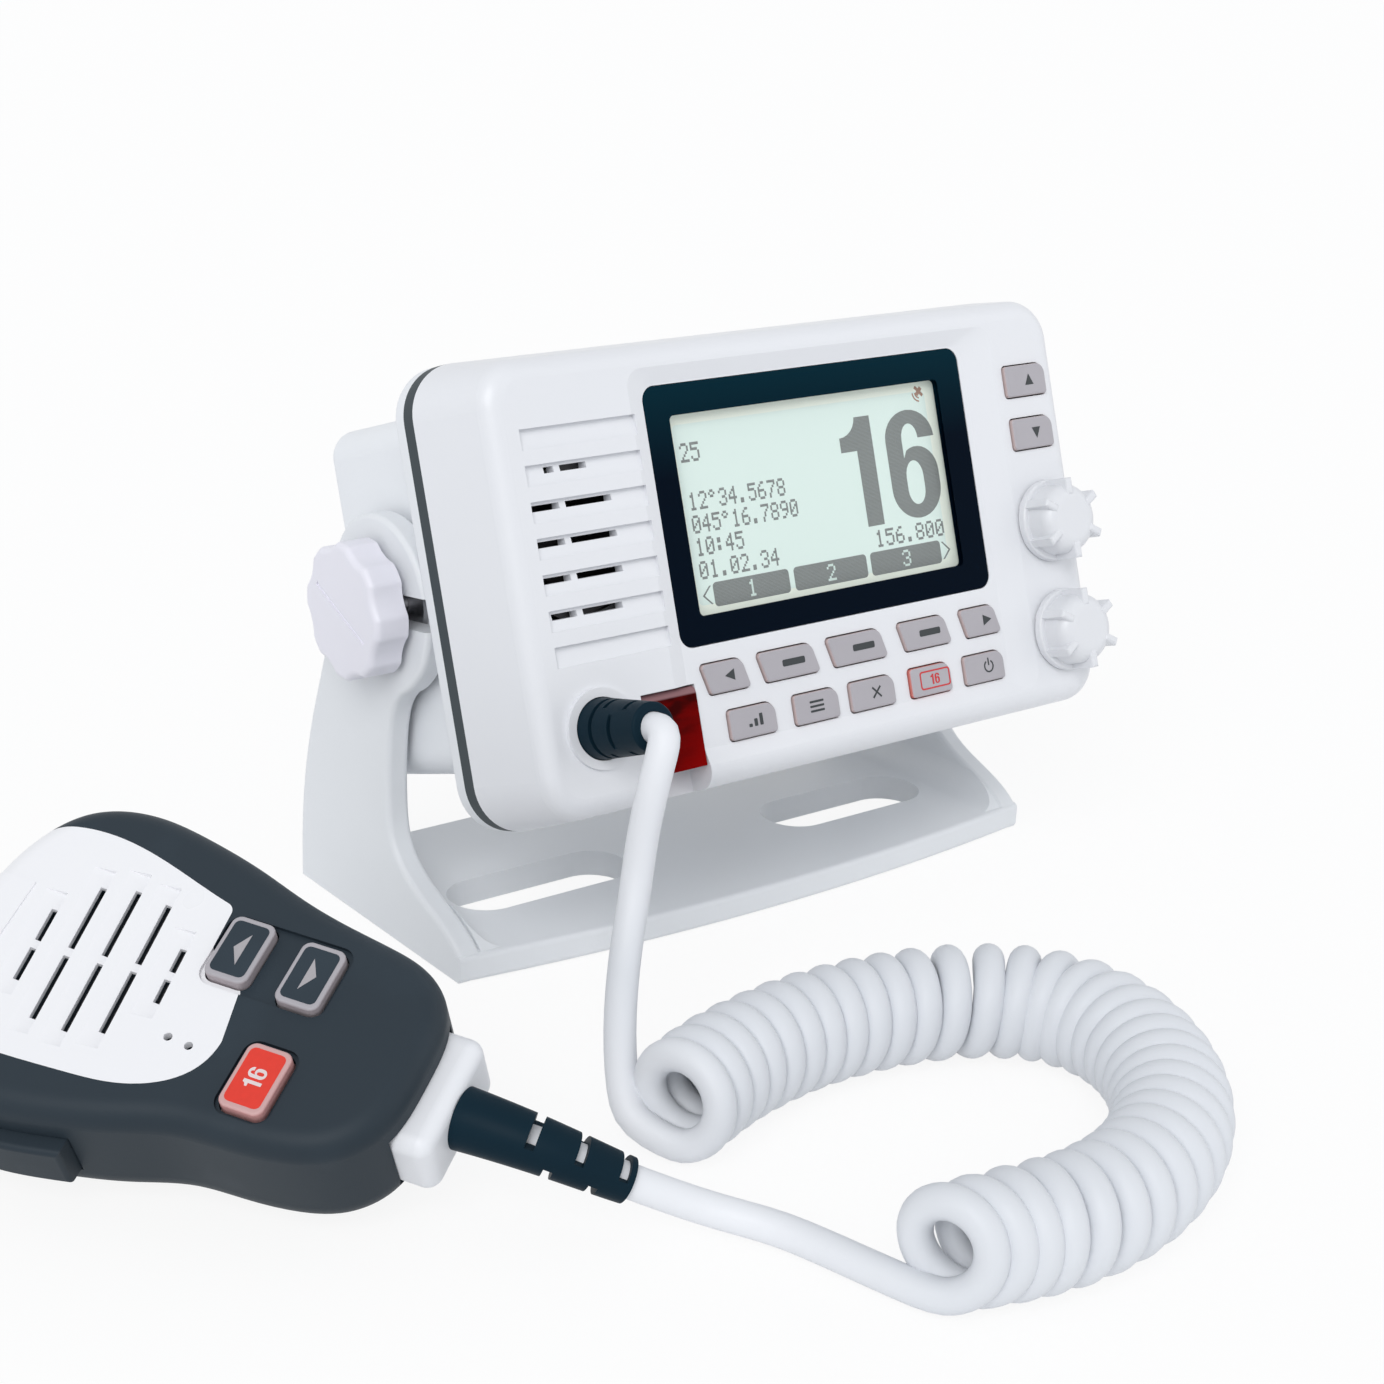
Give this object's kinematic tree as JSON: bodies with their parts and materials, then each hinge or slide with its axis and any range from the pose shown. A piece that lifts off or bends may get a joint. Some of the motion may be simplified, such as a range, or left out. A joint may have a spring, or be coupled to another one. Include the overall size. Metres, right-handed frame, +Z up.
{
  "type": "vhf marine radio",
  "caption": "Fixed-mount marine VHF radio with a large display, keys, two rotary knobs and a distress key, on a tilting bracket, with a fist microphone on a curly cord.",
  "frame": {"origin": "midway between the two mounting slots of the bracket, on its underside", "axes": "+X to the right seen from the front, +Y to the back of the set, +Z up"},
  "size_m": [0.2925, 0.2291, 0.1307],
  "materials": {
    "bracket_white": "satin",
    "knob_white": "satin",
    "steel": "brushed",
    "brass": "satin",
    "cover_white": "satin",
    "window_glass": "polished",
    "display": "matte",
    "red_clear": "translucent",
    "key_rubber": "matte",
    "dome_metal": "satin",
    "component": "matte",
    "black_rubber": "matte",
    "circuit_board": "satin",
    "gasket": "matte",
    "case_white": "painted",
    "mic_white": "satin",
    "mic_dark": "rubberised",
    "mic_boot_white": "satin",
    "mic_key_rubber": "matte",
    "mic_key_red": "matte",
    "cord_white": "satin"
  },
  "bodies": {
    "bracket": {"mounting_bracket": "bracket_white", "clamp_washers": "steel", "mic_grille_panel": "mic_white", "mic_speaker": "component", "mic_cord_boot": "mic_boot_white", "mic_hang_button": "mic_dark", "mic_front_shell": "mic_dark", "mic_rear_shell": "mic_dark", "mic_board": "circuit_board", "mic_screws": "steel", "mic_key_domes": "dome_metal", "mic_cord_relief": "black_rubber", "cord_drop": "cord_white", "cord_coil": "cord_white", "cord_tail": "cord_white"},
    "radio": {"front_cover": "cover_white", "display_window": "window_glass", "display_module": "display", "distress_flap_pin": "steel", "key_domes": "dome_metal", "encoders": "component", "cord_outlet_ring": "cover_white", "panel_cord_relief": "black_rubber", "speaker_frame": "steel", "speaker_cone": "component", "control_board": "circuit_board", "panel_gasket": "gasket", "rear_case": "case_white", "main_board": "circuit_board", "board_screws": "steel", "case_screws": "steel", "antenna_socket": "brass", "rear_cable_glands": "black_rubber", "clamp_inserts": "brass"},
    "left_clamp": {"clamp_knob_left": "knob_white", "clamp_stud_left": "steel"},
    "right_clamp": {"clamp_knob_right": "knob_white", "clamp_stud_right": "steel"},
    "squelch_dial": {"squelch_knob": "cover_white", "squelch_shaft": "steel"},
    "volume_dial": {"volume_knob": "cover_white", "volume_shaft": "steel"},
    "flap": {"distress_flap": "red_clear"},
    "distress_button": {"distress_key": "key_rubber"},
    "talk_switch": {"talk_switch_bar": "mic_dark"},
    "key_left_cap": {"key_left": "key_rubber"},
    "key_soft_1_cap": {"key_soft_1": "key_rubber"},
    "key_soft_2_cap": {"key_soft_2": "key_rubber"},
    "key_soft_3_cap": {"key_soft_3": "key_rubber"},
    "key_right_cap": {"key_right": "key_rubber"},
    "key_level_cap": {"key_level": "key_rubber"},
    "key_menu_cap": {"key_menu": "key_rubber"},
    "key_clear_cap": {"key_clear": "key_rubber"},
    "key_call_cap": {"key_call": "key_rubber"},
    "key_power_cap": {"key_power": "key_rubber"},
    "key_up_cap": {"key_up": "key_rubber"},
    "key_down_cap": {"key_down": "key_rubber"},
    "mic_key_up_cap": {"mic_key_up": "mic_key_rubber"},
    "mic_key_down_cap": {"mic_key_down": "mic_key_rubber"},
    "mic_key_call_cap": {"mic_key_call": "mic_key_red"}
  },
  "joints": [
    {"name": "radio_tilt", "type": "hinge", "parent": "bracket", "child": "radio", "pos_m": [0, 0.009, 0.074], "axis": [-1, 0, 0], "range_deg": [-29, 41], "deforming": ["cord_drop"]},
    {"name": "left_clamp_turn", "type": "hinge", "parent": "radio", "child": "left_clamp", "pos_m": [-0.085, 0.009, 0.074], "axis": [-1, 0, 0], "range_deg": [-360, 360]},
    {"name": "right_clamp_turn", "type": "hinge", "parent": "radio", "child": "right_clamp", "pos_m": [0.085, 0.009, 0.074], "axis": [1, 0, 0], "range_deg": [-360, 360]},
    {"name": "squelch_turn", "type": "hinge", "parent": "radio", "child": "squelch_dial", "pos_m": [0.0672, -0.03949, 0.0843], "axis": [0, 0.9455, -0.3256], "range_deg": [-150, 150]},
    {"name": "volume_turn", "type": "hinge", "parent": "radio", "child": "volume_dial", "pos_m": [0.0672, -0.04769, 0.06047], "axis": [0, 0.9455, -0.3256], "range_deg": [-150, 150]},
    {"name": "key_left_press", "type": "slide", "parent": "radio", "child": "key_left_cap", "axis": [0, 0.9455, -0.3256], "range_m": [0, 0.0008], "stiffness_N_per_m": 900, "springref_m": -0.0004},
    {"name": "key_soft_1_press", "type": "slide", "parent": "radio", "child": "key_soft_1_cap", "axis": [0, 0.9455, -0.3256], "range_m": [0, 0.0008], "stiffness_N_per_m": 900, "springref_m": -0.0004},
    {"name": "key_soft_2_press", "type": "slide", "parent": "radio", "child": "key_soft_2_cap", "axis": [0, 0.9455, -0.3256], "range_m": [0, 0.0008], "stiffness_N_per_m": 900, "springref_m": -0.0004},
    {"name": "key_soft_3_press", "type": "slide", "parent": "radio", "child": "key_soft_3_cap", "axis": [0, 0.9455, -0.3256], "range_m": [0, 0.0008], "stiffness_N_per_m": 900, "springref_m": -0.0004},
    {"name": "key_right_press", "type": "slide", "parent": "radio", "child": "key_right_cap", "axis": [0, 0.9455, -0.3256], "range_m": [0, 0.0008], "stiffness_N_per_m": 900, "springref_m": -0.0004},
    {"name": "key_level_press", "type": "slide", "parent": "radio", "child": "key_level_cap", "axis": [0, 0.9455, -0.3256], "range_m": [0, 0.0008], "stiffness_N_per_m": 900, "springref_m": -0.0004},
    {"name": "key_menu_press", "type": "slide", "parent": "radio", "child": "key_menu_cap", "axis": [0, 0.9455, -0.3256], "range_m": [0, 0.0008], "stiffness_N_per_m": 900, "springref_m": -0.0004},
    {"name": "key_clear_press", "type": "slide", "parent": "radio", "child": "key_clear_cap", "axis": [0, 0.9455, -0.3256], "range_m": [0, 0.0008], "stiffness_N_per_m": 900, "springref_m": -0.0004},
    {"name": "key_call_press", "type": "slide", "parent": "radio", "child": "key_call_cap", "axis": [0, 0.9455, -0.3256], "range_m": [0, 0.0008], "stiffness_N_per_m": 900, "springref_m": -0.0004},
    {"name": "key_power_press", "type": "slide", "parent": "radio", "child": "key_power_cap", "axis": [0, 0.9455, -0.3256], "range_m": [0, 0.0008], "stiffness_N_per_m": 900, "springref_m": -0.0004},
    {"name": "key_up_press", "type": "slide", "parent": "radio", "child": "key_up_cap", "axis": [0, 0.9455, -0.3256], "range_m": [0, 0.0008], "stiffness_N_per_m": 900, "springref_m": -0.0004},
    {"name": "key_down_press", "type": "slide", "parent": "radio", "child": "key_down_cap", "axis": [0, 0.9455, -0.3256], "range_m": [0, 0.0008], "stiffness_N_per_m": 900, "springref_m": -0.0004},
    {"name": "flap_lift", "type": "hinge", "parent": "radio", "child": "flap", "pos_m": [-0.0445, -0.04307, 0.06284], "axis": [-1, 0, 0], "range_deg": [0, 80], "stiffness_Nm_per_rad": 0.004, "springref_deg": -17.19},
    {"name": "distress_press", "type": "slide", "parent": "radio", "child": "distress_button", "axis": [0, 0.9455, -0.3256], "range_m": [0, 0.0007], "stiffness_N_per_m": 900, "springref_m": -0.0004},
    {"name": "mic_key_up_press", "type": "slide", "parent": "bracket", "child": "mic_key_up_cap", "axis": [0.3835, 0.3367, -0.86], "range_m": [0, 0.0007], "stiffness_N_per_m": 900, "springref_m": -0.0004},
    {"name": "mic_key_down_press", "type": "slide", "parent": "bracket", "child": "mic_key_down_cap", "axis": [0.3835, 0.3367, -0.86], "range_m": [0, 0.0007], "stiffness_N_per_m": 900, "springref_m": -0.0004},
    {"name": "mic_key_call_press", "type": "slide", "parent": "bracket", "child": "mic_key_call_cap", "axis": [0.3835, 0.3367, -0.86], "range_m": [0, 0.0007], "stiffness_N_per_m": 900, "springref_m": -0.0004},
    {"name": "talk_switch_press", "type": "slide", "parent": "bracket", "child": "talk_switch", "axis": [0.7623, 0.4103, 0.5005], "range_m": [0, 0.0015], "stiffness_N_per_m": 900, "springref_m": -0.0006}
  ]
}
